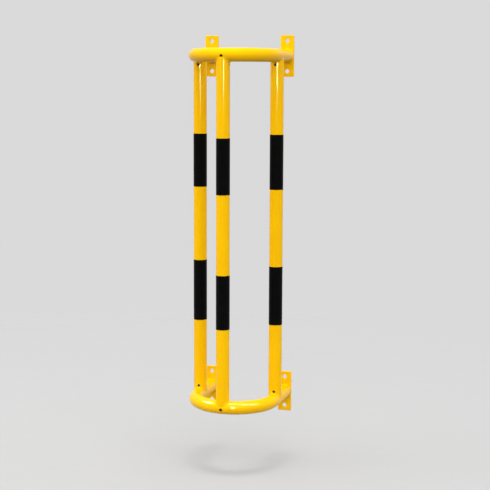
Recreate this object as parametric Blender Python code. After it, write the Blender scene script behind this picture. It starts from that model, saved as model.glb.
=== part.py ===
"""Pipe protection guard for a wall.

Two bent rings of steel tube, three upright tubes coped to fit between them, four drilled
wall plates on the rings' legs, the weld seams that join them, and six black warning bands
wrapped round the uprights.

The origin is on the wall plane, midway between the two lower wall plates, at the height of
the lower ring's centreline. +Z is up, +X is to the right for someone facing the guard, and
the wall lies on the +Y side. All lengths are in metres.

Run it with: blender --background --python part.py
"""

import math
from typing import NamedTuple

import bmesh
import bpy
from mathutils import Vector

# Tube, the same for the rings and the uprights
TUBE_DIAMETER = 0.0483
TUBE_WALL = 0.0029

# Frame
RING_SPACING = 1.250  # height between the two rings' centrelines
BEND_RADIUS = 0.145  # of a ring's centreline, half the distance between its legs
RING_REACH = 0.310  # from the wall to a ring's centreline at the front
SIDE_UPRIGHT_REACH = 0.138  # from the wall to the side uprights' centrelines

# Wall plates, with one anchor hole above and one below the tube
PLATE_WIDTH = 0.050
PLATE_HEIGHT = 0.150
PLATE_THICKNESS = 0.008
PLATE_CORNER_RADIUS = 0.003
ANCHOR_HOLE_DIAMETER = 0.016
ANCHOR_HOLE_INSET = 0.020  # from the plate's end to the hole's centre

# Vent holes that hollow tubes need for galvanising
RING_VENT_DIAMETER = 0.009
RING_VENT_DROP = 0.002  # below the ring's centreline, at the front
UPRIGHT_VENT_DIAMETER = 0.008
UPRIGHT_VENT_DISTANCE = 0.034  # from the nearer ring's centreline

# Coped tube ends and weld seams
EAR_TRIM = 0.0115  # height over the ring's centreline at which a coped end's thin ears are cut off
EAR_ROUNDING = 0.003
WELD_LEG = 0.0045
PLATE_WELD_CROWN = 0.0008  # how far a seam's face bulges
UPRIGHT_WELD_CROWN = 0.0016
LEAST_WELD_TOE = 0.0005  # what is left of a seam where the plate beside the tube ends
SEAT_GAP = 0.0003  # left between pieces that touch

# Warning bands: (lower edge, length), with heights above the lower ring's centreline
BAND_THICKNESS = 0.0003
BAND_OVERLAP = 0.012
LEFT_BANDS = {"lower": (0.282, 0.224), "upper": (0.776, 0.193)}
MIDDLE_BANDS = {"lower": (0.285, 0.194), "upper": (0.764, 0.198)}
RIGHT_BANDS = {"lower": (0.280, 0.214), "upper": (0.773, 0.197)}

# Fineness of the round shapes
TUBE_SIDES = 28
BEND_STEPS = 28
SEAM_STEPS = 40
HOLE_SIDES = 20
CORNER_STEPS = 3
CROWN_SHARES = (0.3, 0.7)  # where a seam's face is rounded, as shares of its width
LAP_EDGE_ANGLE = math.radians(1)  # over which a band steps up on its own end
SHARP_ANGLE = math.radians(35)  # edges over this angle stay sharp
DRILL_CLEARANCE = 0.003  # how far a cutter reaches past the wall that it drills
TINY = 1e-6

TUBE_RADIUS = TUBE_DIAMETER / 2
BORE_RADIUS = TUBE_RADIUS - TUBE_WALL
SEATED_RADIUS = TUBE_RADIUS + SEAT_GAP  # of what lies on a tube's outside
BEND_START = RING_REACH - BEND_RADIUS  # distance from the wall where the legs end
PLATE_FRONT = -PLATE_THICKNESS
LEG_END = PLATE_FRONT - SEAT_GAP
BEND_CENTRE = Vector((0, -BEND_START, 0))
UP = Vector((0, 0, 1))
RIGHT = Vector((1, 0, 0))
TO_WALL = Vector((0, 1, 0))
TO_FRONT = -TO_WALL

RING_HEIGHTS = {"lower": 0.0, "upper": RING_SPACING}
LEG_SIDES = {"left": -BEND_RADIUS, "right": BEND_RADIUS}


class Upright(NamedTuple):
    """An upright's plan position, the side that its vent hole faces at each ring, and its bands."""

    centre: Vector
    vents: dict
    bands: dict


UPRIGHTS = {
    "left": Upright(
        Vector((-BEND_RADIUS, -SIDE_UPRIGHT_REACH, 0)), {"lower": TO_FRONT, "upper": TO_FRONT}, LEFT_BANDS
    ),
    "middle": Upright(Vector((0, -RING_REACH, 0)), {"lower": -RIGHT, "upper": RIGHT}, MIDDLE_BANDS),
    "right": Upright(
        Vector((BEND_RADIUS, -SIDE_UPRIGHT_REACH, 0)), {"lower": TO_FRONT, "upper": TO_FRONT}, RIGHT_BANDS
    ),
}


def clear_scene():
    for obj in list(bpy.data.objects):
        bpy.data.objects.remove(obj, do_unlink=True)


def make_material(name, colour, roughness):
    """A painted or plastic finish, with its colour as linear red, green and blue."""
    material = bpy.data.materials.new(name)
    material.use_nodes = True
    shader = material.node_tree.nodes["Principled BSDF"]
    shader.inputs["Base Color"].default_value = (*colour, 1.0)
    shader.inputs["Roughness"].default_value = roughness
    shader.inputs["Metallic"].default_value = 0.0
    return material


def finish_object(name, bm, material):
    """Turns the faces outwards, shades them smooth and puts the mesh into the scene."""
    bmesh.ops.recalc_face_normals(bm, faces=bm.faces)
    mesh = bpy.data.meshes.new(name)
    bm.to_mesh(mesh)
    bm.free()
    mesh.shade_smooth()
    mesh.set_sharp_from_angle(angle=SHARP_ANGLE)
    mesh.materials.append(material)
    obj = bpy.data.objects.new(name, mesh)
    bpy.context.scene.collection.objects.link(obj)
    return obj


def skin(bm, loops, joined=False):
    """Faces between closed loops of vertices, each to the next, and the last to the first if joined."""
    pairs = list(zip(loops, loops[1:] + loops[:1])) if joined else list(zip(loops, loops[1:]))
    for near, far in pairs:
        for i in range(len(near)):
            j = (i + 1) % len(near)
            bm.faces.new((near[i], near[j], far[j], far[i]))


def loft_pipe(name, sections, material):
    """A hollow piece through its sections, each an outer and an inner loop of points, with open ends."""
    bm = bmesh.new()
    outer = [[bm.verts.new(point) for point in section[0]] for section in sections]
    inner = [[bm.verts.new(point) for point in section[1]] for section in sections]
    skin(bm, outer)
    skin(bm, inner)
    skin(bm, [outer[0], inner[0]])
    skin(bm, [outer[-1], inner[-1]])
    return finish_object(name, bm, material)


def loft_closed(name, sections, material):
    """A solid that runs round through its sections, the last joined to the first."""
    bm = bmesh.new()
    skin(bm, [[bm.verts.new(point) for point in section] for section in sections], joined=True)
    return finish_object(name, bm, material)


def drill(obj, surface, direction, wall, diameter):
    """A hole through a wall of obj, from a point on its surface, made by a hidden cutter and a Boolean."""
    bpy.ops.mesh.primitive_cylinder_add(
        vertices=HOLE_SIDES,
        radius=diameter / 2,
        depth=wall + 2 * DRILL_CLEARANCE,
        location=surface + wall / 2 * direction,
    )
    cutter = bpy.context.object
    cutter.name = f"cutter_{obj.name}_{len(obj.modifiers)}"
    cutter.rotation_euler = direction.to_track_quat("Z", "Y").to_euler()
    cutter.hide_render = True
    cutter.display_type = "WIRE"
    hole = obj.modifiers.new(f"Hole {len(obj.modifiers) + 1}", "BOOLEAN")
    hole.operation = "DIFFERENCE"
    hole.object = cutter


def angles(count):
    return [2 * math.pi * i / count for i in range(count)]


def upright_circle(centre, side, radius):
    """Points of a circle about centre, in the plane of side and up, starting at side."""
    return [centre + radius * (math.cos(a) * side + math.sin(a) * UP) for a in angles(TUBE_SIDES)]


def level_circle(centre, radius):
    return [centre + radius * Vector((math.cos(a), math.sin(a), 0)) for a in angles(TUBE_SIDES)]


def ring_stations():
    """(point, outward direction) along a ring's centreline at height 0, from left plate to right plate."""
    stations = [(Vector((-BEND_RADIUS, LEG_END, 0)), -RIGHT)]
    for step in range(BEND_STEPS + 1):
        turn = math.pi * (1 + step / BEND_STEPS)
        outward = Vector((math.cos(turn), math.sin(turn), 0))
        stations.append((BEND_CENTRE + BEND_RADIUS * outward, outward))
    stations.append((Vector((BEND_RADIUS, LEG_END, 0)), RIGHT))
    return stations


def off_centreline(point):
    """(outward direction, distance) in plan from the nearest point of a ring's centreline to point."""
    if point.y > -BEND_START:
        return math.copysign(1, point.x) * RIGHT, abs(point.x) - BEND_RADIUS
    from_centre = Vector((point.x, point.y, 0)) - BEND_CENTRE
    return from_centre.normalized(), from_centre.length - BEND_RADIUS


def coped_height(point):
    """How far above the lower ring's centreline a coped end or its seam lies, over this point of the plan.

    It follows the ring's surface, and levels out smoothly where the ears are trimmed.
    """
    distance = off_centreline(point)[1]
    saddle = math.sqrt(max(SEATED_RADIUS**2 - distance**2, 0))
    return (saddle + EAR_TRIM + math.hypot(saddle - EAR_TRIM, EAR_ROUNDING)) / 2


def at_ring(ring, height):
    """The real height of something that lies this far inwards of a ring's centreline."""
    return height if ring == "lower" else RING_SPACING - height


def make_ring(ring, yellow):
    """One tube, bent into a U whose open side faces the wall, with a vent hole at the front."""
    sections = []
    for point, outward in ring_stations():
        centre = point + RING_HEIGHTS[ring] * UP
        sections.append([upright_circle(centre, outward, radius) for radius in (TUBE_RADIUS, BORE_RADIUS)])
    obj = loft_pipe(f"{ring}_ring", sections, yellow)
    front = Vector((0, -RING_REACH - TUBE_RADIUS, RING_HEIGHTS[ring] - RING_VENT_DROP))
    drill(obj, front, TO_WALL, TUBE_WALL, RING_VENT_DIAMETER)


def make_upright(side, yellow):
    """A tube whose ends are coped to the rings, with a vent hole near each end."""
    upright = UPRIGHTS[side]
    loops = [level_circle(upright.centre, radius) for radius in (TUBE_RADIUS, BORE_RADIUS)]
    sections = [
        [[p + at_ring(ring, coped_height(p)) * UP for p in loop] for loop in loops] for ring in RING_HEIGHTS
    ]
    obj = loft_pipe(f"upright_{side}", sections, yellow)
    for ring, facing in upright.vents.items():
        surface = upright.centre + TUBE_RADIUS * facing + at_ring(ring, UPRIGHT_VENT_DISTANCE) * UP
        drill(obj, surface, -facing, TUBE_WALL, UPRIGHT_VENT_DIAMETER)


def make_wall_plate(ring, side, yellow):
    """A piece of flat bar with rounded corners, drilled for two anchors."""
    x, z = LEG_SIDES[side], RING_HEIGHTS[ring]
    bm = bmesh.new()
    bmesh.ops.create_cube(bm, size=1)
    bmesh.ops.scale(bm, vec=(PLATE_WIDTH, PLATE_THICKNESS, PLATE_HEIGHT), verts=bm.verts)
    bmesh.ops.translate(bm, vec=(x, PLATE_FRONT / 2, z), verts=bm.verts)
    corners = [e for e in bm.edges if abs(e.verts[0].co.y - e.verts[1].co.y) > PLATE_THICKNESS / 2]
    bmesh.ops.bevel(
        bm, geom=corners, offset=PLATE_CORNER_RADIUS, segments=CORNER_STEPS, profile=0.5, affect="EDGES"
    )
    obj = finish_object(f"wall_plate_{ring}_{side}", bm, yellow)
    for direction in (-1, 1):
        hole_z = z + direction * (PLATE_HEIGHT / 2 - ANCHOR_HOLE_INSET)
        drill(obj, Vector((x, PLATE_FRONT, hole_z)), TO_WALL, PLATE_THICKNESS, ANCHOR_HOLE_DIAMETER)


def crowned(toe_a, toe_b, bulge):
    """Points of a seam's rounded face between its toes."""
    return [toe_a.lerp(toe_b, share) + bulge for share in CROWN_SHARES]


def make_plate_weld(ring, side, yellow):
    """The seam round a ring's leg on its plate. It narrows at the sides, where the plate ends."""
    centre = Vector((LEG_SIDES[side], LEG_END, RING_HEIGHTS[ring]))
    sections = []
    for angle in angles(TUBE_SIDES):
        away = Vector((math.cos(angle), 0, math.sin(angle)))
        to_plate_edge = PLATE_WIDTH / 2 / max(abs(away.x), TINY)
        toe = max(min(WELD_LEG, to_plate_edge - SEATED_RADIUS), LEAST_WELD_TOE)
        root = centre + SEATED_RADIUS * away
        plate_toe = root + toe * away
        tube_toe = root + WELD_LEG * TO_FRONT
        bulge = PLATE_WELD_CROWN * toe / WELD_LEG * (away + TO_FRONT).normalized()
        sections.append([root, plate_toe, *crowned(plate_toe, tube_toe, bulge), tube_toe])
    loft_closed(f"weld_plate_{ring}_{side}", sections, yellow)


def onto_upright(point, centre):
    """The point moved level onto the surface round an upright."""
    out = Vector((point.x, point.y, 0)) - centre
    return centre + SEATED_RADIUS * out.normalized() + point.z * UP


def onto_ring(point):
    """The point moved straight onto the surface round the lower ring."""
    outward, distance = off_centreline(point)
    centreline = Vector((point.x, point.y, 0)) - distance * outward
    return centreline + SEATED_RADIUS * (point - centreline).normalized()


def seam_sections(centre):
    """Cross-sections of the weld seam between an upright at centre and the lower ring."""
    radials = [Vector((math.cos(a), math.sin(a), 0)) for a in angles(SEAM_STEPS)]
    roots = [centre + SEATED_RADIUS * radial for radial in radials]
    roots = [root + coped_height(root) * UP for root in roots]
    sections = []
    for i, (root, from_upright) in enumerate(zip(roots, radials)):
        along = (roots[(i + 1) % SEAM_STEPS] - roots[i - 1]).normalized()
        outward, distance = off_centreline(root)
        from_ring = (distance * outward + root.z * UP).normalized()
        upright_toe = onto_upright(root + WELD_LEG * from_upright.cross(along).normalized(), centre)
        ring_toe = onto_ring(root + WELD_LEG * along.cross(from_ring).normalized())
        bulge = UPRIGHT_WELD_CROWN * (from_upright + from_ring).normalized()
        sections.append([root, ring_toe, *crowned(ring_toe, upright_toe, bulge), upright_toe])
    return sections


def make_upright_weld(ring, side, yellow):
    """The saddle-shaped seam round an upright's coped end."""
    sections = seam_sections(UPRIGHTS[side].centre)
    placed = [[Vector((p.x, p.y, at_ring(ring, p.z))) for p in section] for section in sections]
    loft_closed(f"weld_upright_{ring}_{side}", placed, yellow)


def band_section(centre, height):
    """Outer and inner loop of a band: film wrapped once round, double where it laps over at the back."""
    half_lap = BAND_OVERLAP / TUBE_DIAMETER
    back = math.pi / 2
    lap_edges = [back + end * half_lap + step * LAP_EDGE_ANGLE for end in (-1, 1) for step in (-1, 1)]
    spare = [a for a in angles(TUBE_SIDES) if all(abs(a - b) > LAP_EDGE_ANGLE / 2 for b in lap_edges)]
    outer, inner = [], []
    for turn in sorted(spare + lap_edges):
        layers = 2 if abs(turn - back) < half_lap else 1
        radial = Vector((math.cos(turn), math.sin(turn), 0))
        outer.append(centre + (SEATED_RADIUS + layers * BAND_THICKNESS) * radial + height * UP)
        inner.append(centre + SEATED_RADIUS * radial + height * UP)
    return outer, inner


def make_band(side, place, black):
    """A strip of black film, wrapped once round an upright."""
    upright = UPRIGHTS[side]
    lower_edge, length = upright.bands[place]
    sections = [band_section(upright.centre, height) for height in (lower_edge, lower_edge + length)]
    loft_pipe(f"band_{side}_{place}", sections, black)


def main():
    clear_scene()
    yellow = make_material("yellow_powder_coat", (0.93, 0.55, 0.002), 0.28)
    black = make_material("black_film", (0.004, 0.004, 0.004), 0.35)
    for ring in RING_HEIGHTS:
        make_ring(ring, yellow)
        for side in LEG_SIDES:
            make_wall_plate(ring, side, yellow)
            make_plate_weld(ring, side, yellow)
        for side in UPRIGHTS:
            make_upright_weld(ring, side, yellow)
    for side, upright in UPRIGHTS.items():
        make_upright(side, yellow)
        for place in upright.bands:
            make_band(side, place, black)


main()
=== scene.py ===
"""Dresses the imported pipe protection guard, and sets the stage, the lights and the camera.

Every piece stands for one node of the frame and takes its place and size from that node's box.
Lengths are in metres, +Z is up, and the backs of the wall plates face +Y.
"""

import math

import bmesh
import bpy
from mathutils import Matrix, Vector


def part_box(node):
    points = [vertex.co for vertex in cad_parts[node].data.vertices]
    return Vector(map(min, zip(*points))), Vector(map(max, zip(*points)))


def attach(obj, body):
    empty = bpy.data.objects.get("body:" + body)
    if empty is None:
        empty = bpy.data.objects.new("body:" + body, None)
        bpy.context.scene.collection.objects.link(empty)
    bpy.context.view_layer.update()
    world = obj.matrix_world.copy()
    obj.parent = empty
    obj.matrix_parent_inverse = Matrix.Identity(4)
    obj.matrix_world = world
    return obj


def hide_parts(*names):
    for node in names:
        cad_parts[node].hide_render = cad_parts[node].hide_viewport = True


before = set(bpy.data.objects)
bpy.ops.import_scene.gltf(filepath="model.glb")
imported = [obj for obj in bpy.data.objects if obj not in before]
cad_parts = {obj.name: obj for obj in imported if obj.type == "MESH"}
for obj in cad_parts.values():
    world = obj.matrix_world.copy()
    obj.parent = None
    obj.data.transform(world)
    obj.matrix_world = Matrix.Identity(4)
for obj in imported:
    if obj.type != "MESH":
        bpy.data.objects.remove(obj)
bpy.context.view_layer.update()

bl_info = {
    "name": "Pipe Protection Guard",
    "version": (1, 0, 0),
    "blender": (4, 5, 0),
    "location": "3D View > Sidebar > Pipe Guard",
    "description": "Models a guard of powder-coated tubes with black warning bands",
    "category": "Object",
}

RINGS = ("lower", "upper")
SIDES = ("left", "right")
POSTS = ("left", "middle", "right")
UP = Vector((0, 0, 1))
TO_BACK = Vector((0, 1, 0))
TO_FRONT = -TO_BACK
TO_RIGHT = Vector((1, 0, 0))


def node_centre(node):
    low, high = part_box(node)
    return (low + high) / 2


def node_size(node):
    low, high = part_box(node)
    return high - low


RING_BOX = {ring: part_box(f"{ring}_ring") for ring in RINGS}
RING_HEIGHT = {ring: node_centre(f"{ring}_ring").z for ring in RINGS}
TUBE_DIAMETER = node_size("lower_ring").z
LEG_END = RING_BOX["lower"][1].y
BEND_RADIUS = (node_size("lower_ring").x - TUBE_DIAMETER) / 2
BEND_CENTRE = Vector((0, RING_BOX["lower"][0].y + TUBE_DIAMETER / 2 + BEND_RADIUS, 0))


class GuardSizes(bpy.types.PropertyGroup):
    """Sizes of the guard that the frame doesn't show, and how finely its round shapes are divided."""

    tube_diameter: bpy.props.FloatProperty(
        name="Tube diameter", description="Outside of the rings' and uprights' tube",
        default=TUBE_DIAMETER, min=0.01, unit="LENGTH",
    )
    tube_wall: bpy.props.FloatProperty(
        name="Tube wall", description="Thickness of the tube's wall",
        default=0.0029, min=0.0005, unit="LENGTH",
    )
    ring_vent: bpy.props.FloatProperty(
        name="Ring vent", description="Diameter of the vent hole at the front of each ring",
        default=0.0115, min=0.001, unit="LENGTH",
    )
    ring_vent_drop: bpy.props.FloatProperty(
        name="Ring vent drop", description="How far a ring's vent hole lies below its centreline",
        default=0.0045, unit="LENGTH",
    )
    post_vent: bpy.props.FloatProperty(
        name="Upright vent", description="Diameter of the vent holes near the uprights' ends",
        default=0.010, min=0.001, unit="LENGTH",
    )
    vent_rounding: bpy.props.FloatProperty(
        name="Vent rounding", description="Width of the rounding that the paint leaves round a vent hole",
        default=0.0005, min=0.0, unit="LENGTH",
    )
    plate_corner: bpy.props.FloatProperty(
        name="Plate corner", description="Radius of a wall plate's corners",
        default=0.003, min=0.0, unit="LENGTH",
    )
    plate_edge: bpy.props.FloatProperty(
        name="Plate edge", description="Rounding of a wall plate's painted edges",
        default=0.0007, min=0.0, unit="LENGTH",
    )
    anchor_hole: bpy.props.FloatProperty(
        name="Anchor hole", description="Diameter of the holes in the wall plates",
        default=0.016, min=0.001, unit="LENGTH",
    )
    anchor_hole_inset: bpy.props.FloatProperty(
        name="Anchor hole inset", description="From the end of a wall plate to the hole's centre",
        default=0.020, min=0.0, unit="LENGTH",
    )
    seam_leg: bpy.props.FloatProperty(
        name="Seam leg", description="How far a weld seam reaches on each of the pieces that it joins",
        default=0.0036, min=0.001, unit="LENGTH",
    )
    seam_crown: bpy.props.FloatProperty(
        name="Seam crown", description="How far a weld seam's face bulges",
        default=0.0002, unit="LENGTH",
    )
    seam_sink: bpy.props.FloatProperty(
        name="Seam sink", description="How deep a weld seam's edges run into the metal",
        default=0.00035, min=0.0, unit="LENGTH",
    )
    ripple_pitch: bpy.props.FloatProperty(
        name="Ripple pitch", description="From one ripple of a weld seam to the next",
        default=0.0024, min=0.0005, unit="LENGTH",
    )
    ripple_height: bpy.props.FloatProperty(
        name="Ripple height", description="Height of a weld seam's ripples under the paint",
        default=0.00014, min=0.0, unit="LENGTH",
    )
    ear_trim: bpy.props.FloatProperty(
        name="Ear trim",
        description="Height over a ring's centreline where an upright's thin ears are cut off",
        default=0.0115, min=0.0, unit="LENGTH",
    )
    film_thickness: bpy.props.FloatProperty(
        name="Film thickness", description="Thickness of the black film, and of its step where it laps over",
        default=0.0003, min=0.00005, unit="LENGTH",
    )
    film_lap: bpy.props.FloatProperty(
        name="Film lap", description="How far the black film laps over its own end at the back",
        default=0.012, min=0.0, unit="LENGTH",
    )
    film_wander: bpy.props.FloatProperty(
        name="Film edge wander", description="How far a hand-cut edge of the black film strays up and down",
        default=0.0014, min=0.0, unit="LENGTH",
    )
    tube_sides: bpy.props.IntProperty(
        name="Tube sides", description="Faces round a tube", default=96, min=12,
    )
    bend_steps: bpy.props.IntProperty(
        name="Bend steps", description="Faces along a ring's bend", default=90, min=8,
    )
    seam_steps: bpy.props.IntProperty(
        name="Seam steps", description="Sections along a weld seam", default=420, min=40,
    )


class GuardFinish(bpy.types.PropertyGroup):
    """Colours and gloss of the paint and the film."""

    paint_colour: bpy.props.FloatVectorProperty(
        name="Paint colour", description="Colour of the powder coat",
        default=(0.930, 0.527, 0.0), subtype="COLOR", size=3, min=0.0, max=1.0,
    )
    paint_deep_colour: bpy.props.FloatVectorProperty(
        name="Deeper paint colour", description="Colour that the powder coat drifts to where it lies thicker",
        default=(0.905, 0.485, 0.0), subtype="COLOR", size=3, min=0.0, max=1.0,
    )
    paint_roughness: bpy.props.FloatProperty(
        name="Paint roughness", description="Mean roughness of the powder coat",
        default=0.08, min=0.0, max=1.0, subtype="FACTOR",
    )
    paint_specular: bpy.props.FloatProperty(
        name="Paint specular", description="Strength of the powder coat's reflections",
        default=0.15, min=0.0, max=1.0, subtype="FACTOR",
    )
    paint_tint: bpy.props.FloatVectorProperty(
        name="Paint tint", description="Tint of the powder coat's reflections where it is seen straight on",
        default=(1.0, 0.92, 0.5), subtype="COLOR", size=3, min=0.0, max=1.0,
    )
    film_colour: bpy.props.FloatVectorProperty(
        name="Film colour", description="Colour of the black film",
        default=(0.0008, 0.0008, 0.0007), subtype="COLOR", size=3, min=0.0, max=1.0,
    )
    film_roughness: bpy.props.FloatProperty(
        name="Film roughness", description="Mean roughness of the black film",
        default=0.34, min=0.0, max=1.0, subtype="FACTOR",
    )
    film_specular: bpy.props.FloatProperty(
        name="Film specular", description="Strength of the black film's reflections",
        default=0.05, min=0.0, max=1.0, subtype="FACTOR",
    )


class GuardStage(bpy.types.PropertyGroup):
    """The floor, the background, the strength of the lights and the camera."""

    floor_height: bpy.props.FloatProperty(
        name="Floor height", description="Height of the floor, below the lower ring's centreline",
        default=-0.25, unit="LENGTH",
    )
    floor_radius: bpy.props.FloatProperty(
        name="Floor radius", description="Radius of the floor", default=9.0, min=1.0, unit="LENGTH",
    )
    pale_colour: bpy.props.FloatVectorProperty(
        name="Pale colour", description="Colour of the background as the camera sees it",
        default=(0.70, 0.70, 0.70), subtype="COLOR", size=3, min=0.0, max=1.0,
    )
    floor_colour: bpy.props.FloatVectorProperty(
        name="Floor colour", description="Colour of the floor as the camera sees it",
        default=(0.40, 0.40, 0.40), subtype="COLOR", size=3, min=0.0, max=1.0,
    )
    room_level: bpy.props.FloatProperty(
        name="Room level", description="Brightness of the room above the horizon", default=1.1, min=0.0,
    )
    ground_level: bpy.props.FloatProperty(
        name="Ground level", description="Brightness of the room below the horizon", default=0.08, min=0.0,
    )
    light_level: bpy.props.FloatProperty(
        name="Light level", description="Scales all lamps together", default=1.0, min=0.0,
    )
    camera_place: bpy.props.FloatVectorProperty(
        name="Camera place", description="Where the camera stands", size=3, subtype="TRANSLATION",
        default=(1.400855, -4.507864, 1.178421), unit="LENGTH",
    )
    camera_yaw: bpy.props.FloatProperty(
        name="Camera yaw", description="Turn of the camera from +Y to the left",
        default=math.radians(17.445), unit="ROTATION",
    )
    camera_pitch: bpy.props.FloatProperty(
        name="Camera pitch", description="Tilt of the camera below the horizon",
        default=math.radians(7.612), unit="ROTATION",
    )
    camera_roll: bpy.props.FloatProperty(
        name="Camera roll", description="Turn of the camera about its own axis",
        default=math.radians(0.216), unit="ROTATION",
    )
    focal_length: bpy.props.FloatProperty(
        name="Focal length", description="Focal length on a sensor 36 mm wide", default=93.112, min=1.0,
    )


def sizes():
    return bpy.context.scene.guard_sizes


def finish():
    return bpy.context.scene.guard_finish


def stage_settings():
    return bpy.context.scene.guard_stage


# Modelling steps


def start_piece():
    """Leaves edit mode and deselects everything, so that the next operator acts on the new piece only."""
    if bpy.context.mode != "OBJECT":
        bpy.ops.object.mode_set(mode="OBJECT")
    bpy.ops.object.select_all(action="DESELECT")


def only(obj):
    """Makes obj the one selected and active object."""
    start_piece()
    obj.select_set(True)
    bpy.context.view_layer.objects.active = obj
    return obj


def place_in_mesh(obj):
    only(obj)
    bpy.ops.object.transform_apply(location=True, rotation=True, scale=True)


def pick(obj, kind, test):
    """In edit mode, selects what passes the test: vertices, edges or faces, as kind VERT, EDGE or FACE says.

    The test gets a vertex's place, the places of an edge's two ends, or a face's centre.
    """
    bpy.ops.mesh.select_mode(type=kind)
    bpy.ops.mesh.select_all(action="DESELECT")
    mesh = bmesh.from_edit_mesh(obj.data)
    if kind == "VERT":
        for vert in mesh.verts:
            vert.select = test(vert.co)
    elif kind == "EDGE":
        for edge in mesh.edges:
            edge.select_set(test(edge.verts[0].co, edge.verts[1].co))
    else:
        for face in mesh.faces:
            face.select_set(test(face.calc_center_median()))
    mesh.select_flush_mode()
    bmesh.update_edit_mesh(obj.data)


def tidy_shell():
    """In edit mode, merges doubles and turns every face outwards."""
    bpy.ops.mesh.select_all(action="SELECT")
    bpy.ops.mesh.remove_doubles(threshold=1e-6)
    bpy.ops.mesh.normals_make_consistent(inside=False)


def apply_modifier(obj, kind, name, **settings):
    """Adds a modifier with these settings and applies it."""
    only(obj)
    bpy.ops.object.modifier_add(type=kind)
    modifier = obj.modifiers[-1]
    modifier.name = name
    for setting, value in settings.items():
        setattr(modifier, setting, value)
    bpy.ops.object.modifier_apply(modifier=modifier.name)


def wall_inwards(obj, thickness):
    """Gives a shell its wall. The rim takes the first material, and the inner face the last."""
    apply_modifier(
        obj, "SOLIDIFY", "Wall", thickness=thickness, offset=-1.0, use_even_offset=True,
        material_offset=max(0, len(obj.data.materials) - 1), material_offset_rim=0,
    )


def merge_close_points(obj):
    """Merges the points that a cut leaves side by side where its edges all but meet those of the piece."""
    only(obj)
    bpy.ops.object.mode_set(mode="EDIT")
    bpy.ops.mesh.select_all(action="SELECT")
    bpy.ops.mesh.remove_doubles(threshold=1e-6)
    bpy.ops.object.mode_set(mode="OBJECT")


def cut_away(obj, *cutters):
    """Takes the cutters' shapes out of obj."""
    for cutter in cutters:
        before = len(obj.data.vertices)
        apply_modifier(obj, "BOOLEAN", "Cut", operation="DIFFERENCE", solver="EXACT", object=cutter)
        if len(obj.data.vertices) == before:
            raise RuntimeError(f"{cutter.name} cuts nothing out of {obj.name}")
    merge_close_points(obj)


def throw_away(*objs):
    start_piece()
    for obj in objs:
        obj.select_set(True)
    bpy.ops.object.delete()


def drill_bit(centre, direction, diameter, depth, flare=0.0):
    """A cutter for a round hole, from a point on the surface inwards. It widens by flare where it enters."""
    turn = direction.to_track_quat("Z", "Y").to_euler()
    start_piece()
    bpy.ops.mesh.primitive_circle_add(vertices=48, radius=diameter / 2, fill_type="NGON")
    bit = bpy.context.object
    bpy.ops.object.mode_set(mode="EDIT")
    bpy.ops.mesh.select_all(action="SELECT")
    if flare:
        outside = 1 + 2 * flare / diameter
        bpy.ops.transform.resize(value=(outside, outside, 1))
        bpy.ops.transform.translate(value=(0, 0, -depth / 2))
        bpy.ops.mesh.extrude_region_move(TRANSFORM_OT_translate={"value": (0, 0, depth / 2 + flare / 4)})
        bpy.ops.mesh.extrude_region_move(TRANSFORM_OT_translate={"value": (0, 0, flare)})
        bpy.ops.transform.resize(value=(1 / outside, 1 / outside, 1))
        bpy.ops.mesh.extrude_region_move(TRANSFORM_OT_translate={"value": (0, 0, depth)})
    else:
        bpy.ops.transform.translate(value=(0, 0, -depth / 2))
        bpy.ops.mesh.extrude_region_move(TRANSFORM_OT_translate={"value": (0, 0, 1.5 * depth)})
    tidy_shell()
    bpy.ops.object.mode_set(mode="OBJECT")
    bit.rotation_euler = turn
    bit.location = centre
    place_in_mesh(bit)
    return bit


def show_smooth(obj, angle=40):
    only(obj)
    bpy.ops.object.shade_smooth_by_angle(angle=math.radians(angle))


def finish_with(obj, *materials):
    """Gives obj its materials, the first of them on all its faces."""
    for material in materials:
        obj.data.materials.append(material)


def hand_over(obj, name, node):
    """Names a finished piece and puts it in the node's place."""
    place_in_mesh(obj)
    obj.name = name
    obj.data.name = name
    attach(obj, "root")
    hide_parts(node)


# Materials


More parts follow.
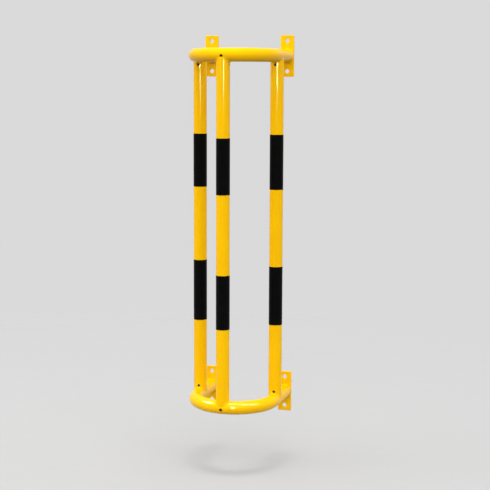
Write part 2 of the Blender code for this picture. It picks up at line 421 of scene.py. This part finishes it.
class Nodes:
    """A short way to add and wire the nodes of one material."""

    def __init__(self, name):
        existing = bpy.data.materials.get(name)
        self.material = existing or bpy.data.materials.new(name)
        self.fresh = existing is None
        if self.fresh:
            self.material.use_nodes = True
            self.tree = self.material.node_tree
            self.shader = self.tree.nodes["Principled BSDF"]
            self.place = self.add("ShaderNodeTexCoord").outputs["Object"]

    def add(self, kind, inputs=(), **settings):
        node = self.tree.nodes.new(kind)
        for setting, value in settings.items():
            setattr(node, setting, value)
        for socket, value in dict(inputs).items():
            if isinstance(value, bpy.types.NodeSocket):
                self.tree.links.new(value, node.inputs[socket])
            else:
                node.inputs[socket].default_value = value
        return node

    def stretched(self, scale, offset=(0, 0, 0)):
        return self.add(
            "ShaderNodeMapping", {"Vector": self.place, "Scale": scale, "Location": offset}
        ).outputs["Vector"]

    def noise(self, scale, detail=2.0, roughness=0.5, vector=None):
        inputs = {"Vector": vector or self.place, "Scale": scale, "Detail": detail, "Roughness": roughness}
        return self.add("ShaderNodeTexNoise", inputs).outputs["Fac"]

    def span(self, value, low, high, to_low, to_high):
        inputs = {
            "Value": value, "From Min": low, "From Max": high, "To Min": to_low, "To Max": to_high,
        }
        return self.add("ShaderNodeMapRange", inputs, clamp=True).outputs["Result"]

    def maths(self, operation, first, second):
        return self.add("ShaderNodeMath", {0: first, 1: second}, operation=operation).outputs["Value"]

    def mix_colour(self, factor, first, second):
        node = self.add("ShaderNodeMix", data_type="RGBA")
        self.tree.links.new(factor, node.inputs["Factor"])
        for socket, value in (("A", first), ("B", second)):
            target = next(i for i in node.inputs if i.name == socket and i.type == "RGBA")
            if isinstance(value, bpy.types.NodeSocket):
                self.tree.links.new(value, target)
            else:
                target.default_value = (*value, 1.0)
        return next(o for o in node.outputs if o.type == "RGBA")

    def bump(self, height, strength, distance, below=None):
        inputs = {"Height": height, "Strength": strength, "Distance": distance}
        if below is not None:
            inputs["Normal"] = below
        return self.add("ShaderNodeBump", inputs).outputs["Normal"]

    def feed(self, socket, value):
        if isinstance(value, bpy.types.NodeSocket):
            self.tree.links.new(value, self.shader.inputs[socket])
        else:
            self.shader.inputs[socket].default_value = value


def paint(name, peel, unevenness):
    """Glossy powder coat: orange peel, a slight drift of tone, duller patches and fine rubbed streaks."""
    nodes = Nodes(name)
    if not nodes.fresh:
        return nodes.material
    colours = finish()
    drift = nodes.span(nodes.noise(9.0, 3.0), 0.35, 0.68, 0.0, 1.0)
    thick = nodes.span(nodes.noise(55.0, 4.0, 0.6), 0.42, 0.75, 0.0, 0.55)
    tone = nodes.mix_colour(drift, tuple(colours.paint_colour), tuple(colours.paint_deep_colour))
    tone = nodes.mix_colour(thick, tone, tuple(colours.paint_deep_colour))
    specks = nodes.span(nodes.noise(420.0, 2.0, 0.7), 0.74, 0.80, 0.0, 0.35)
    tone = nodes.mix_colour(specks, tone, (0.50, 0.27, 0.01))
    nodes.feed("Base Color", tone)
    patches = nodes.span(nodes.noise(22.0, 5.0, 0.65), 0.35, 0.70, -0.02, 0.025)
    rubbed = nodes.noise(1.0, 3.0, 0.6, nodes.stretched((260.0, 260.0, 9.0)))
    rubbed = nodes.span(rubbed, 0.66, 0.76, 0.0, 0.06)
    rough = nodes.maths("ADD", patches, rubbed)
    rough = nodes.maths("ADD", rough, colours.paint_roughness)
    nodes.feed("Roughness", nodes.maths("ADD", rough, nodes.maths("MULTIPLY", specks, 0.3)))
    nodes.feed("Specular IOR Level", colours.paint_specular)
    nodes.feed("Specular Tint", (*colours.paint_tint, 1.0))
    slow = nodes.bump(nodes.noise(70.0, 2.0), unevenness, 0.0006)
    skin = nodes.bump(nodes.noise(620.0, 1.0, 0.4), peel, 0.00022, slow)
    nodes.feed("Normal", skin)
    return nodes.material


def smooth_paint():
    return paint("yellow powder coat", peel=0.035, unevenness=0.05)


def paint_over_seams():
    return paint("yellow powder coat on seams", peel=0.12, unevenness=0.15)


def bare_steel_and_painted_shade(name):
    """Bare steel inside a tube, which the paint doesn't reach: dark rolling scale with a breath of rust, made
    nearly black as a painted shade that darkens the vent holes.
    """
    nodes = Nodes(name)
    if not nodes.fresh:
        return nodes.material
    blotches = nodes.span(nodes.noise(28.0, 5.0, 0.65), 0.36, 0.66, 0.0, 1.0)
    # Nearly black tones: painted shade that makes the vent holes show dark
    tone = nodes.mix_colour(blotches, (0.030, 0.030, 0.032), (0.058, 0.052, 0.047))
    elsewhere = nodes.stretched((1.0, 1.0, 1.0), (3.1, 0.7, 5.2))
    rust = nodes.span(nodes.noise(90.0, 5.0, 0.7, elsewhere), 0.6, 0.8, 0.0, 0.7)
    nodes.feed("Base Color", nodes.mix_colour(rust, tone, (0.110, 0.040, 0.016)))
    nodes.feed("Metallic", 0.3)
    nodes.feed("Roughness", nodes.span(blotches, 0.0, 1.0, 0.58, 0.76))
    nodes.feed("Normal", nodes.bump(nodes.noise(340.0, 4.0, 0.6), 0.35, 0.0003))
    return nodes.material


def film(name):
    """Black self-adhesive film: a satin face, a faint stretch grain and small trapped bubbles."""
    nodes = Nodes(name)
    if not nodes.fresh:
        return nodes.material
    colours = finish()
    grain = nodes.noise(1.0, 3.0, 0.6, nodes.stretched((900.0, 900.0, 45.0)))
    patches = nodes.noise(38.0, 4.0, 0.6)
    tone = nodes.mix_colour(
        nodes.span(patches, 0.35, 0.70, 0.0, 1.0), tuple(colours.film_colour), (0.0018, 0.0018, 0.0017)
    )
    dust = nodes.span(nodes.noise(800.0, 2.0, 0.7), 0.76, 0.82, 0.0, 0.5)
    nodes.feed("Base Color", nodes.mix_colour(dust, tone, (0.030, 0.028, 0.025)))
    rough = nodes.maths("ADD", nodes.span(patches, 0.3, 0.7, -0.05, 0.06), colours.film_roughness)
    nodes.feed("Roughness", nodes.maths("ADD", rough, nodes.span(grain, 0.4, 0.7, 0.0, 0.05)))
    nodes.feed("Specular IOR Level", colours.film_specular)
    cells = nodes.add(
        "ShaderNodeTexVoronoi", {"Vector": nodes.place, "Scale": 120.0, "Randomness": 1.0},
        feature="SMOOTH_F1",
    ).outputs["Distance"]
    bubbles = nodes.span(cells, 0.10, 0.22, 1.0, 0.0)
    bubbles = nodes.maths("MULTIPLY", bubbles, nodes.span(nodes.noise(14.0, 2.0), 0.52, 0.66, 0.0, 1.0))
    lifted = nodes.bump(bubbles, 0.5, 0.0004)
    waves = nodes.bump(nodes.noise(1.0, 2.0, 0.5, nodes.stretched((60.0, 60.0, 26.0))), 0.35, 0.0007, lifted)
    nodes.feed("Normal", nodes.bump(grain, 0.18, 0.00012, waves))
    return nodes.material


# Rings


def bent_tube(ring, radius, closed=False):
    """A ring's outside: a circle at the left leg's end, drawn out, spun through the bend, drawn out again."""
    size = sizes()
    height = RING_HEIGHT[ring]
    start_piece()
    bpy.ops.mesh.primitive_circle_add(
        vertices=size.tube_sides, radius=radius, fill_type="NGON" if closed else "NOTHING",
        location=(-BEND_RADIUS, LEG_END, height), rotation=(math.pi / 2, 0, 0),
    )
    obj = bpy.context.object
    place_in_mesh(obj)
    bpy.ops.object.mode_set(mode="EDIT")
    bpy.ops.mesh.select_all(action="SELECT")
    leg = LEG_END - BEND_CENTRE.y
    bpy.ops.mesh.extrude_region_move(TRANSFORM_OT_translate={"value": (0, -leg, 0)})
    bpy.ops.mesh.spin(
        steps=size.bend_steps, angle=-math.pi, center=(0, BEND_CENTRE.y, height), axis=(0, 0, 1)
    )
    bpy.ops.mesh.extrude_region_move(TRANSFORM_OT_translate={"value": (0, leg, 0)})
    tidy_shell()
    bpy.ops.object.mode_set(mode="OBJECT")
    return obj


class GUARD_OT_rings(bpy.types.Operator):
    """Bends the two rings and drills their vent holes"""

    bl_idname = "guard.rings"
    bl_label = "Rings"

    def execute(self, context):
        size = sizes()
        for ring in RINGS:
            tube = bent_tube(ring, size.tube_diameter / 2)
            finish_with(tube, smooth_paint(), bare_steel_and_painted_shade("bare steel inside and painted shade"))
            wall_inwards(tube, size.tube_wall)
            front = Vector((0, RING_BOX[ring][0].y, RING_HEIGHT[ring] - size.ring_vent_drop))
            bit = drill_bit(front, TO_BACK, size.ring_vent, 4 * size.tube_wall, size.vent_rounding)
            cut_away(tube, bit)
            throw_away(bit)
            show_smooth(tube)
            hand_over(tube, f"bent_tube_{ring}", f"{ring}_ring")
        return {"FINISHED"}


# Uprights


# Each vent hole's turn to the right of straight in front, in degrees, and its distance from the ring's
# centreline. The photo shows them all but the middle upright's lower one
VENT_PLACES = {
    "left": {"lower": (4, 0.034), "upper": (0, 0.033)},
    "middle": {"lower": (-90, 0.034), "upper": (90, 0.033)},
    "right": {"lower": (6, 0.033), "upper": (0, 0.033)},
}
# How far from the rings' centrelines the uprights are parted, so that the vents cut short faces only
VENT_ZONE = 0.07


def inwards(ring, distance):
    """The height that lies this far from a ring's centreline, towards the other ring."""
    return RING_HEIGHT[ring] + (distance if ring == "lower" else -distance)


class GUARD_OT_uprights(bpy.types.Operator):
    """Copes the three upright tubes to the rings and drills their vent holes"""

    bl_idname = "guard.uprights"
    bl_label = "Uprights"

    def execute(self, context):
        size = sizes()
        radius = size.tube_diameter / 2
        saddles = [bent_tube(ring, radius, closed=True) for ring in RINGS]
        for post in POSTS:
            node = f"upright_{post}"
            low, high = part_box(node)
            centre = (low + high) / 2
            start_piece()
            bpy.ops.mesh.primitive_cylinder_add(
                vertices=size.tube_sides, radius=radius, depth=high.z - low.z, location=centre,
                end_fill_type="NOTHING",
            )
            tube = bpy.context.object
            place_in_mesh(tube)
            bpy.ops.object.mode_set(mode="EDIT")
            for ring in RINGS:
                bpy.ops.mesh.select_all(action="SELECT")
                bpy.ops.mesh.bisect(plane_co=(0, 0, inwards(ring, VENT_ZONE)), plane_no=(0, 0, 1))
            bpy.ops.object.mode_set(mode="OBJECT")
            finish_with(tube, smooth_paint(), bare_steel_and_painted_shade("bare steel inside and painted shade"))
            wall_inwards(tube, size.tube_wall)
            cut_away(tube, *saddles)
            for ring, (turn, distance) in VENT_PLACES[post].items():
                facing = Vector((math.sin(math.radians(turn)), -math.cos(math.radians(turn)), 0))
                surface = Vector((centre.x, centre.y, inwards(ring, distance))) + radius * facing
                bit = drill_bit(surface, -facing, size.post_vent, 4 * size.tube_wall, size.vent_rounding)
                cut_away(tube, bit)
                throw_away(bit)
            show_smooth(tube)
            hand_over(tube, f"coped_tube_{post}", node)
        throw_away(*saddles)
        return {"FINISHED"}


# Wall plates


def drilled_plate():
    """The first wall plate, made in place: its corners rounded, its holes drilled, its edges rounded."""
    size = sizes()
    low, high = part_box("wall_plate_lower_left")
    start_piece()
    bpy.ops.mesh.primitive_cube_add(size=1, location=(low + high) / 2, scale=high - low)
    plate = bpy.context.object
    place_in_mesh(plate)
    bpy.ops.object.mode_set(mode="EDIT")
    pick(plate, "EDGE", lambda a, b: abs(a.y - b.y) > (high.y - low.y) / 2)
    bpy.ops.mesh.bevel(offset=size.plate_corner, offset_type="OFFSET", segments=8, affect="EDGES")
    bpy.ops.object.mode_set(mode="OBJECT")
    for z in (low.z + size.anchor_hole_inset, high.z - size.anchor_hole_inset):
        bit = drill_bit(
            Vector(((low.x + high.x) / 2, low.y, z)), TO_BACK, size.anchor_hole, 3 * (high.y - low.y)
        )
        cut_away(plate, bit)
        throw_away(bit)
    apply_modifier(
        plate, "BEVEL", "Painted edge", width=size.plate_edge, segments=3, limit_method="ANGLE",
        angle_limit=math.radians(50),
    )
    show_smooth(plate, 30)
    return plate


class GUARD_OT_wall_plates(bpy.types.Operator):
    """Makes one drilled wall plate and copies it to the other three places"""

    bl_idname = "guard.wall_plates"
    bl_label = "Wall plates"

    def execute(self, context):
        first = drilled_plate()
        home = node_centre("wall_plate_lower_left")
        for ring in RINGS:
            for side in SIDES:
                node = f"wall_plate_{ring}_{side}"
                only(first)
                bpy.ops.object.duplicate(linked=False)
                plate = bpy.context.object
                bpy.ops.transform.translate(value=node_centre(node) - home)
                finish_with(plate, smooth_paint())
                hand_over(plate, f"drilled_plate_{ring}_{side}", node)
        throw_away(first)
        return {"FINISHED"}


# Weld seams, drawn section by section, because their faces turn and narrow along the joint


def off_centreline(point):
    """(outward direction, distance) in plan from the nearest point of a ring's centreline."""
    if point.y > BEND_CENTRE.y:
        return math.copysign(1, point.x) * TO_RIGHT, abs(point.x) - BEND_RADIUS
    from_centre = Vector((point.x, point.y, 0)) - BEND_CENTRE
    return from_centre.normalized(), from_centre.length - BEND_RADIUS


def coped_height(point, radius):
    """Height above a ring's centreline at which a coped tube meets it, levelled where the ears are cut."""
    trim = sizes().ear_trim
    saddle = math.sqrt(max(radius**2 - off_centreline(point)[1] ** 2, 0))
    return (saddle + trim + math.hypot(saddle - trim, 0.003)) / 2


def rippled_face(toe_a, toe_b, out, travelled, steps=9):
    """Points across a seam's face, with the U-shaped ripples that the moving arc leaves."""
    size = sizes()
    points = []
    for i in range(steps + 1):
        share = i / steps
        arch = 4 * share * (1 - share)
        phase = (travelled + 0.9 * size.ripple_pitch * arch) / size.ripple_pitch
        ripple = abs(math.sin(math.pi * phase)) ** 0.7 - 0.6
        lift = size.seam_crown * arch + size.ripple_height * ripple * min(1.0, 2.5 * arch)
        points.append(toe_a.lerp(toe_b, share) + lift * out)
    return points


def seam_body(name, sections, node):
    """A closed solid through the sections, the last joined to the first, put in the node's place."""
    mesh = bmesh.new()
    loops = [[mesh.verts.new(point) for point in section] for section in sections]
    for near, far in zip(loops, loops[1:] + loops[:1]):
        for i in range(len(near)):
            j = (i + 1) % len(near)
            mesh.faces.new((near[i], near[j], far[j], far[i]))
    bmesh.ops.recalc_face_normals(mesh, faces=mesh.faces)
    data = bpy.data.meshes.new(name)
    mesh.to_mesh(data)
    mesh.free()
    obj = bpy.data.objects.new(name, data)
    bpy.context.scene.collection.objects.link(obj)
    show_smooth(obj, 60)
    finish_with(obj, paint_over_seams())
    hand_over(obj, name, node)


def evenly_round(path, steps):
    """(turn, travelled) for each section, evenly spaced along a closed path, and the path's length.

    The path gives a point for each turn from 0 to 2 pi.
    """
    fine = 4 * steps
    points = [path(2 * math.pi * i / fine) for i in range(fine + 1)]
    run = [0.0]
    for a, b in zip(points, points[1:]):
        run.append(run[-1] + (b - a).length)
    result, i = [], 0
    for k in range(steps):
        wanted = run[-1] * k / steps
        while run[i + 1] < wanted:
            i += 1
        share = (wanted - run[i]) / (run[i + 1] - run[i])
        result.append((2 * math.pi * (i + share) / fine, wanted))
    return result, run[-1]


class GUARD_OT_upright_seams(bpy.types.Operator):
    """Lays the saddle-shaped weld seams where the uprights meet the rings"""

    bl_idname = "guard.upright_seams"
    bl_label = "Upright seams"

    def sections(self, centre):
        """Sections of the seam between an upright at centre and a ring at height 0."""
        size = sizes()
        radius = size.tube_diameter / 2
        sunk = radius - size.seam_sink

        def root_at(turn):
            point = centre + radius * Vector((math.cos(turn), math.sin(turn), 0))
            return point + coped_height(point, radius) * UP

        stops, length = evenly_round(root_at, size.seam_steps)
        stretch = round(length / size.ripple_pitch) * size.ripple_pitch / length
        sections = []
        for turn, travelled in stops:
            root = root_at(turn)
            from_post = Vector((math.cos(turn), math.sin(turn), 0))
            along = (root_at(turn + 0.02) - root_at(turn - 0.02)).normalized()
            outward, distance = off_centreline(root)
            from_ring = (distance * outward + root.z * UP).normalized()
            wander = 1 + 0.05 * math.sin(3 * turn + 0.7) + 0.04 * math.sin(7 * turn)
            leg = size.seam_leg * wander
            post_toe = root + leg * from_post.cross(along).normalized()
            flat = Vector((post_toe.x, post_toe.y, 0)) - centre
            post_toe = centre + sunk * flat.normalized() + post_toe.z * UP
            ring_toe = root + leg * along.cross(from_ring).normalized()
            outward, distance = off_centreline(ring_toe)
            core = Vector((ring_toe.x, ring_toe.y, 0)) - distance * outward
            ring_toe = core + sunk * (ring_toe - core).normalized()
            out = (from_post + from_ring).normalized()
            face = rippled_face(ring_toe, post_toe, out, travelled * stretch)
            sections.append([root - 2 * size.seam_sink * out, *face])
        return sections

    def execute(self, context):
        for post in POSTS:
            node_middle = node_centre(f"upright_{post}")
            sections = self.sections(Vector((node_middle.x, node_middle.y, 0)))
            for ring in RINGS:
                placed = [[Vector((p.x, p.y, inwards(ring, p.z))) for p in section] for section in sections]
                seam_body(f"seam_{ring}_{post}_upright", placed, f"weld_upright_{ring}_{post}")
        return {"FINISHED"}


class GUARD_OT_plate_seams(bpy.types.Operator):
    """Lays the weld seams round the rings' legs on the wall plates, narrower where a plate ends"""

    bl_idname = "guard.plate_seams"
    bl_label = "Plate seams"

    def execute(self, context):
        size = sizes()
        radius = size.tube_diameter / 2
        sunk = radius - size.seam_sink
        half_width = node_size("wall_plate_lower_left").x / 2
        length = 2 * math.pi * radius
        stretch = round(length / size.ripple_pitch) * size.ripple_pitch / length
        for ring in RINGS:
            for side in SIDES:
                middle = node_centre(f"wall_plate_{ring}_{side}")
                plate_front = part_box(f"wall_plate_{ring}_{side}")[0].y
                centre = Vector((middle.x, plate_front, RING_HEIGHT[ring]))
                sections = []
                for k in range(size.seam_steps):
                    turn = 2 * math.pi * k / size.seam_steps
                    away = Vector((math.cos(turn), 0, math.sin(turn)))
                    room = half_width / max(abs(away.x), 1e-6) - radius
                    leg = size.seam_leg * (1 + 0.05 * math.sin(4 * turn + 1.3))
                    spread = min(leg, room - 0.0003)
                    plate_toe = centre + (radius + spread) * away - size.seam_sink * TO_FRONT
                    tube_toe = centre + sunk * away + leg * TO_FRONT
                    out = (away + TO_FRONT).normalized()
                    face = rippled_face(plate_toe, tube_toe, out, radius * turn * stretch)
                    root = centre + (radius - 2 * size.seam_sink) * away - size.seam_sink * TO_FRONT
                    sections.append([root, *face])
                seam_body(f"seam_{ring}_{side}_plate", sections, f"weld_plate_{ring}_{side}")
        return {"FINISHED"}


# Black film


class GUARD_OT_film_bands(bpy.types.Operator):
    """Wraps the bands of black film round the uprights, lapped at the back"""

    bl_idname = "guard.film_bands"
    bl_label = "Film bands"

    def wrap(self, node, seed):
        """One band: a tube of film, raised where it laps over, with hand-cut edges and slight waves."""
        size = sizes()
        low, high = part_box(node)
        across = (high.x - low.x) / 2
        centre = Vector(((low.x + high.x) / 2, low.y + across, (low.z + high.z) / 2))
        outside = size.tube_diameter / 2 + 1.3 * size.film_thickness
        start_piece()
        bpy.ops.mesh.primitive_cylinder_add(
            vertices=2 * size.tube_sides, radius=outside, depth=high.z - low.z, location=centre,
            end_fill_type="NOTHING",
        )
        band = bpy.context.object
        place_in_mesh(band)
        bpy.ops.object.mode_set(mode="EDIT")
        rows = 36
        for i in range(1, rows):
            bpy.ops.mesh.select_all(action="SELECT")
            bpy.ops.mesh.bisect(
                plane_co=(0, 0, low.z + (high.z - low.z) * i / rows), plane_no=(0, 0, 1)
            )
        half_lap = size.film_lap / 2
        pick(band, "FACE", lambda c: c.y > centre.y and abs(c.x - centre.x) < half_lap)
        bpy.ops.mesh.extrude_region_shrink_fatten(TRANSFORM_OT_shrink_fatten={"value": size.film_thickness})
        bpy.ops.mesh.select_all(action="SELECT")
        bpy.ops.mesh.select_mode(type="VERT")
        bpy.ops.object.mode_set(mode="OBJECT")
        edges = band.vertex_groups.new(name="edges")
        reach = 2.2 * (high.z - low.z) / rows
        for vert in band.data.vertices:
            near = min(vert.co.z - low.z, high.z - vert.co.z)
            edges.add([vert.index], max(0.0, 1 - near / reach), "REPLACE")
        cut = bpy.data.textures.new(f"hand-cut edge {seed}", "CLOUDS")
        cut.noise_scale = 0.045
        apply_modifier(
            band, "DISPLACE", "Hand-cut edge", texture=cut, direction="Z", strength=size.film_wander,
            mid_level=0.5, vertex_group="edges", texture_coords="LOCAL",
        )
        waves = bpy.data.textures.new(f"film waves {seed}", "CLOUDS")
        waves.noise_scale = 0.02
        apply_modifier(
            band, "DISPLACE", "Waves", texture=waves, direction="NORMAL",
            strength=0.6 * size.film_thickness, mid_level=0.3, texture_coords="LOCAL",
        )
        wall_inwards(band, 1.6 * size.film_thickness)
        show_smooth(band, 40)
        return band

    def execute(self, context):
        for seed, (post, place) in enumerate((post, place) for post in POSTS for place in RINGS):
            node = f"band_{post}_{place}"
            band = self.wrap(node, seed)
            finish_with(band, film("black film"))
            hand_over(band, f"film_{post}_{place}", node)
        return {"FINISHED"}


# Stage, lights and camera


# The floor's brightness as the lamps light it, at its middle and outside, and the radii between which it
# changes. The camera sees the floor colour instead
LIT_FLOOR = (0.20, 0.09)
LIT_FLOOR_FADE = (0.6, 1.6)
# The radii between which the floor turns clear
FLOOR_EDGE_FADE = (1.2, 4.0)
# How far above and below the horizon the room's light changes, as the height of a unit vector
HORIZON_BLEND = 0.10

# Each lamp's azimuth and elevation in degrees, its distance, width and height in metres, and its radiance
SOFTBOXES = {
    "overhead_softbox": (17.4, 84, 12, 5.0, 3.0, 13.0),
    "left_front_softbox": (-65, 28, 10, 9.0, 7.0, 1.95),
    "right_front_softbox": (27, 25, 10, 11.0, 8.0, 1.7),
    "back_softbox": (180, 25, 10, 7.0, 5.0, 1.6),
}
# The strips, with the pieces whose gloss shows them
STRIPS = {
    "front_strip": ((17.6, 11.1, 10, 1.1, 3.1, 200.0), ("coped_tube_left", "coped_tube_right")),
    "middle_front_strip": ((25.0, 11.1, 10, 1.1, 3.1, 180.0), ("coped_tube_middle",)),
    "low_front_strip": ((13.5, 8, 10, 1.6, 2.0, 280.0), ("bent_tube_lower",)),
    "overhead_strip": ((17.4, 76, 5.0, 15.0, 0.8, 110.0), ("bent_tube_lower",)),
    "left_strip": ((-77, 46, 8, 1.0, 3.2, 240.0), ("bent_tube_lower",)),
}
# The overhead strip hangs level here, facing down
OVERHEAD_STRIP_PLACE = (-0.5, -1.4, 5.0)
LIT_CENTRE = Vector((0, -0.16, 0.62))


def seen_directly(nodes):
    """1 for rays that show the background: straight to the camera, mirrored or through glass."""
    path = nodes.add("ShaderNodeLightPath")
    shown = nodes.maths("MAXIMUM", path.outputs["Is Camera Ray"], path.outputs["Is Glossy Ray"])
    return nodes.maths("MAXIMUM", shown, path.outputs["Is Transmission Ray"])


class GUARD_OT_stage(bpy.types.Operator):
    """Sets the floor, the background, the lamps and the camera"""

    bl_idname = "guard.stage"
    bl_label = "Stage"

    def floor(self):
        """A plain pale floor that fades into the background."""
        settings = stage_settings()
        start_piece()
        bpy.ops.mesh.primitive_circle_add(
            vertices=96, radius=settings.floor_radius, fill_type="NGON",
            location=(0, 0, settings.floor_height),
        )
        floor = bpy.context.object
        floor.name = "studio_floor"
        place_in_mesh(floor)
        nodes = Nodes("pale studio floor")
        spread = nodes.add("ShaderNodeVectorMath", {0: nodes.place}, operation="LENGTH").outputs["Value"]
        outside = nodes.span(spread, *LIT_FLOOR_FADE, 0.0, 1.0)
        thrown = nodes.mix_colour(outside, *((level,) * 3 for level in LIT_FLOOR))
        tone = nodes.mix_colour(seen_directly(nodes), thrown, tuple(settings.floor_colour))
        grain = nodes.span(nodes.noise(30.0, 4.0), 0.3, 0.7, 0.985, 1.0)
        tone_node = nodes.add("ShaderNodeVectorMath", {0: tone, 1: grain}, operation="MULTIPLY")
        nodes.feed("Base Color", tone_node.outputs["Vector"])
        nodes.feed("Roughness", 0.85)
        nodes.feed("Specular IOR Level", 0.1)
        fade = nodes.span(spread, *FLOOR_EDGE_FADE, 0.0, 1.0)
        clear = nodes.add("ShaderNodeBsdfTransparent")
        mixed = nodes.add("ShaderNodeMixShader")
        nodes.tree.links.new(fade, mixed.inputs["Fac"])
        nodes.tree.links.new(nodes.shader.outputs["BSDF"], mixed.inputs[1])
        nodes.tree.links.new(clear.outputs["BSDF"], mixed.inputs[2])
        output = nodes.tree.nodes["Material Output"]
        nodes.tree.links.new(mixed.outputs["Shader"], output.inputs["Surface"])
        floor.data.materials.append(nodes.material)

    def background(self):
        """A room that lights evenly from above the horizon and little from below it, shown pale all round."""
        settings = stage_settings()
        world = bpy.data.worlds.new("studio room")
        world.use_nodes = True
        tree = world.node_tree
        direction = tree.nodes.new("ShaderNodeTexCoord")
        split = tree.nodes.new("ShaderNodeSeparateXYZ")
        level = tree.nodes.new("ShaderNodeMapRange")
        for socket, value in (
            ("From Min", -HORIZON_BLEND), ("From Max", HORIZON_BLEND),
            ("To Min", settings.ground_level), ("To Max", settings.room_level),
        ):
            level.inputs[socket].default_value = value
        room = tree.nodes["Background"]
        room.inputs["Color"].default_value = (1.0, 1.0, 1.0, 1.0)
        tree.links.new(direction.outputs["Generated"], split.inputs["Vector"])
        tree.links.new(split.outputs["Z"], level.inputs["Value"])
        tree.links.new(level.outputs["Result"], room.inputs["Strength"])
        shown = tree.nodes.new("ShaderNodeBackground")
        shown.inputs["Color"].default_value = (*settings.pale_colour, 1.0)
        shown.inputs["Strength"].default_value = 1.0
        path = tree.nodes.new("ShaderNodeLightPath")
        mix = tree.nodes.new("ShaderNodeMixShader")
        factor = path.outputs["Is Camera Ray"]
        for extra in ("Is Glossy Ray", "Is Transmission Ray"):
            highest = tree.nodes.new("ShaderNodeMath")
            highest.operation = "MAXIMUM"
            tree.links.new(factor, highest.inputs[0])
            tree.links.new(path.outputs[extra], highest.inputs[1])
            factor = highest.outputs["Value"]
        tree.links.new(factor, mix.inputs["Fac"])
        tree.links.new(room.outputs["Background"], mix.inputs[1])
        tree.links.new(shown.outputs["Background"], mix.inputs[2])
        tree.links.new(mix.outputs["Shader"], tree.nodes["World Output"].inputs["Surface"])
        bpy.context.scene.world = world

    def lamp(self, name, azimuth, elevation, distance, width, height, radiance, soft=False):
        """A lamp round the guard. Azimuth 0 is straight in front and turns to the right, in degrees.

        A soft one only brightens, and the others only show in the gloss.
        """
        turn, lift = math.radians(azimuth), math.radians(elevation)
        direction = Vector(
            (math.sin(turn) * math.cos(lift), -math.cos(turn) * math.cos(lift), math.sin(lift))
        )
        start_piece()
        bpy.ops.object.light_add(type="AREA", location=LIT_CENTRE + distance * direction)
        lamp = bpy.context.object
        lamp.name = name
        lamp.rotation_euler = direction.to_track_quat("Z", "Y").to_euler()
        lamp.data.shape = "RECTANGLE"
        lamp.data.size = width
        lamp.data.size_y = height
        lamp.data.energy = stage_settings().light_level * radiance * width * height * math.pi
        lamp.visible_camera = False
        lamp.visible_diffuse = soft
        lamp.visible_glossy = not soft
        return lamp

    def show_only_on(self, lamp, pieces):
        """Limits the lamp's light to these pieces."""
        lit = bpy.data.collections.new(f"lit by {lamp.name}")
        for piece in pieces:
            lit.objects.link(bpy.data.objects[piece])
        lamp.light_linking.receiver_collection = lit

    def glints(self):
        """Strips that only show in the gloss: three in front, one level overhead and one to the left."""
        for name, (placing, pieces) in STRIPS.items():
            self.show_only_on(self.lamp(name, *placing), pieces)
        overhead = bpy.data.objects["overhead_strip"]
        overhead.location = OVERHEAD_STRIP_PLACE
        overhead.rotation_euler = (0, 0, 0)

    def camera(self):
        settings = stage_settings()
        yaw, pitch, roll = settings.camera_yaw, settings.camera_pitch, settings.camera_roll
        forward = Vector(
            (-math.sin(yaw) * math.cos(pitch), math.cos(yaw) * math.cos(pitch), -math.sin(pitch))
        )
        level = Vector((math.cos(yaw), math.sin(yaw), 0))
        upright = level.cross(forward)
        right = math.cos(roll) * level + math.sin(roll) * upright
        above = math.cos(roll) * upright - math.sin(roll) * level
        start_piece()
        bpy.ops.object.camera_add(location=settings.camera_place)
        camera = bpy.context.object
        camera.name = "photo_camera"
        camera.rotation_euler = Matrix((right, above, -forward)).transposed().to_euler()
        camera.data.sensor_width = 36
        camera.data.lens = settings.focal_length
        camera.data.clip_start = 0.05
        camera.data.clip_end = 100
        bpy.context.scene.camera = camera

    def execute(self, context):
        context.scene.view_settings.view_transform = "Standard"
        self.floor()
        self.background()
        for name, placing in SOFTBOXES.items():
            self.lamp(name, *placing, soft=True)
        self.glints()
        self.camera()
        return {"FINISHED"}


class GUARD_PT_panel(bpy.types.Panel):
    """Lists the guard's pieces, sizes and finishes"""

    bl_idname = "GUARD_PT_panel"
    bl_label = "Pipe Guard"
    bl_space_type = "VIEW_3D"
    bl_region_type = "UI"
    bl_category = "Pipe Guard"

    def draw(self, context):
        layout = self.layout
        pieces = layout.box()
        pieces.label(text="Make")
        for operator in OPERATORS:
            pieces.operator(operator.bl_idname)
        for title, group in (
            ("Sizes", context.scene.guard_sizes),
            ("Finish", context.scene.guard_finish),
            ("Stage", context.scene.guard_stage),
        ):
            box = layout.box()
            box.label(text=title)
            for name in group.__annotations__:
                box.prop(group, name)


OPERATORS = (
    GUARD_OT_rings,
    GUARD_OT_uprights,
    GUARD_OT_wall_plates,
    GUARD_OT_upright_seams,
    GUARD_OT_plate_seams,
    GUARD_OT_film_bands,
    GUARD_OT_stage,
)
CLASSES = (GuardSizes, GuardFinish, GuardStage, *OPERATORS, GUARD_PT_panel)


def register():
    for cls in CLASSES:
        bpy.utils.register_class(cls)
    bpy.types.Scene.guard_sizes = bpy.props.PointerProperty(type=GuardSizes)
    bpy.types.Scene.guard_finish = bpy.props.PointerProperty(type=GuardFinish)
    bpy.types.Scene.guard_stage = bpy.props.PointerProperty(type=GuardStage)


def unregister():
    del bpy.types.Scene.guard_stage
    del bpy.types.Scene.guard_finish
    del bpy.types.Scene.guard_sizes
    for cls in reversed(CLASSES):
        bpy.utils.unregister_class(cls)


def main():
    register()
    bpy.ops.guard.rings()
    bpy.ops.guard.uprights()
    bpy.ops.guard.wall_plates()
    bpy.ops.guard.upright_seams()
    bpy.ops.guard.plate_seams()
    bpy.ops.guard.film_bands()
    bpy.ops.guard.stage()


if __name__ == "__main__":
    main()
